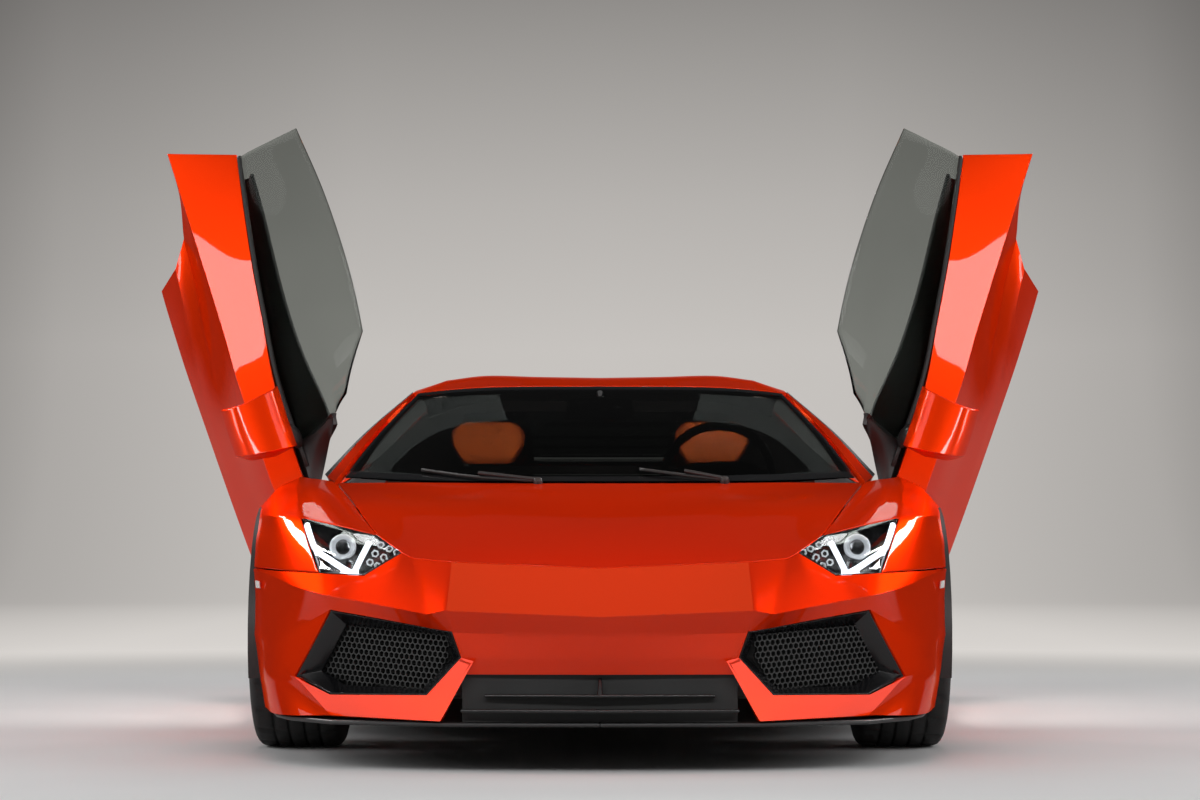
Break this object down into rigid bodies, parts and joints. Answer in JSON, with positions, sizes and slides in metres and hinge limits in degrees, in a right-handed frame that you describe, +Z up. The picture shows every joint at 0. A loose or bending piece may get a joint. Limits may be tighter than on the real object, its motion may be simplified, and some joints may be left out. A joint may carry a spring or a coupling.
{
  "type": "mid-engined supercar",
  "caption": "Low wedge-shaped two-seat mid-engined supercar with doors that swing up, opening lids, a tilting rear wing, steering and rolling wheels.",
  "frame": {"origin": "on the ground under the middle of the car's length and width", "axes": "+X to the driver's left side, -Y towards the nose, +Z up"},
  "size_m": [2.7864, 4.78, 1.8277],
  "materials": {
    "body_paint": "pearl orange clear coat",
    "black_gloss": "gloss black",
    "black_matte": "satin black plastic",
    "glass": "lightly tinted",
    "lamp_glass": "clear lens",
    "lamp_red": "red lens",
    "tyre": "rubber",
    "rim": "dark machined alloy",
    "carbon": "carbon composite",
    "aluminium": "cast and machined",
    "cast_iron": "cast",
    "leather": "orange brown leather",
    "steel": "exhaust steel"
  },
  "bodies": {
    "body": {"front_bumper": "body_paint", "front_splitter": "black_matte", "front_grilles": "black_matte", "headlamps": "lamp_glass", "front_fender_left": "body_paint", "front_fender_right": "body_paint", "windscreen": "glass", "roof_frame": "body_paint", "rear_quarter_left": "body_paint", "rear_quarter_right": "body_paint", "rear_bumper": "black_matte", "rear_diffuser": "carbon", "exhaust": "steel", "tail_lamps": "lamp_red", "sills": "body_paint", "chassis_tub": "carbon", "undertray": "black_matte", "engine_block": "cast_iron", "rear_glass": "glass", "dashboard": "leather", "seats": "leather", "tub_sides": "carbon", "subframes": "aluminium", "front_suspension": "aluminium", "rear_suspension": "aluminium"},
    "door_left": {"door_left": "body_paint", "door_glass_left": "glass", "mirror_left": "body_paint"},
    "knuckle_left": {"front_knuckle_left": "aluminium"},
    "wheel_front_left": {"wheel_front_left": "rim", "tyre_front_left": "tyre"},
    "wheel_rear_left": {"wheel_rear_left": "rim", "tyre_rear_left": "tyre"},
    "door_right": {"door_right": "body_paint", "door_glass_right": "glass", "mirror_right": "body_paint"},
    "knuckle_right": {"front_knuckle_right": "aluminium"},
    "wheel_front_right": {"wheel_front_right": "rim", "tyre_front_right": "tyre"},
    "wheel_rear_right": {"wheel_rear_right": "rim", "tyre_rear_right": "tyre"},
    "bonnet": {"bonnet": "body_paint"},
    "engine_cover": {"engine_cover": "body_paint"},
    "rear_wing": {"rear_wing": "body_paint"},
    "steering_wheel": {"steering_wheel": "leather"}
  },
  "joints": [
    {"name": "door_left_hinge", "type": "hinge", "parent": "body", "child": "door_left", "pos_m": [0.9, -0.63, 0.545], "axis": [0.9456, 0.018, -0.3249], "range_deg": [-85.7, 0]},
    {"name": "steer_left", "type": "hinge", "parent": "body", "child": "knuckle_left", "pos_m": [0.846, -1.26, 0.3305], "axis": [0, 0, 1], "range_deg": [-30, 30]},
    {"name": "door_right_hinge", "type": "hinge", "parent": "body", "child": "door_right", "pos_m": [-0.9, -0.63, 0.545], "axis": [0.9456, -0.018, 0.3249], "range_deg": [-85.7, 0]},
    {"name": "steer_right", "type": "hinge", "parent": "body", "child": "knuckle_right", "pos_m": [-0.846, -1.26, 0.3305], "axis": [0, 0, 1], "range_deg": [-30, 30]},
    {"name": "wheel_front_left_spin", "type": "hinge", "parent": "knuckle_left", "child": "wheel_front_left", "pos_m": [0.852, -1.26, 0.3305], "axis": [1, 0, 0], "continuous": true},
    {"name": "wheel_front_right_spin", "type": "hinge", "parent": "knuckle_right", "child": "wheel_front_right", "pos_m": [-0.852, -1.26, 0.3305], "axis": [1, 0, 0], "continuous": true},
    {"name": "wheel_rear_left_spin", "type": "hinge", "parent": "body", "child": "wheel_rear_left", "pos_m": [0.85, 1.44, 0.3545], "axis": [1, 0, 0], "continuous": true},
    {"name": "wheel_rear_right_spin", "type": "hinge", "parent": "body", "child": "wheel_rear_right", "pos_m": [-0.85, 1.44, 0.3545], "axis": [1, 0, 0], "continuous": true},
    {"name": "bonnet_hinge", "type": "hinge", "parent": "body", "child": "bonnet", "pos_m": [0, -0.88, 0.768], "axis": [-1, 0, 0], "range_deg": [0, 55]},
    {"name": "engine_cover_hinge", "type": "hinge", "parent": "body", "child": "engine_cover", "pos_m": [0, 0.58, 1.1], "axis": [1, 0, 0], "range_deg": [0, 50]},
    {"name": "rear_wing_tilt", "type": "hinge", "parent": "body", "child": "rear_wing", "pos_m": [0, 2.075, 0.886], "axis": [1, 0, 0], "range_deg": [0, 11]},
    {"name": "steering_column", "type": "hinge", "parent": "body", "child": "steering_wheel", "pos_m": [0.376, -0.33, 0.79], "axis": [0, 0.9398, 0.3418], "range_deg": [-425, 425]}
  ],
  "couplings": [
    {"joint": "steer_right", "follows": "steer_left", "ratio": 1},
    {"joint": "steering_column", "follows": "steer_left", "ratio": 14}
  ]
}
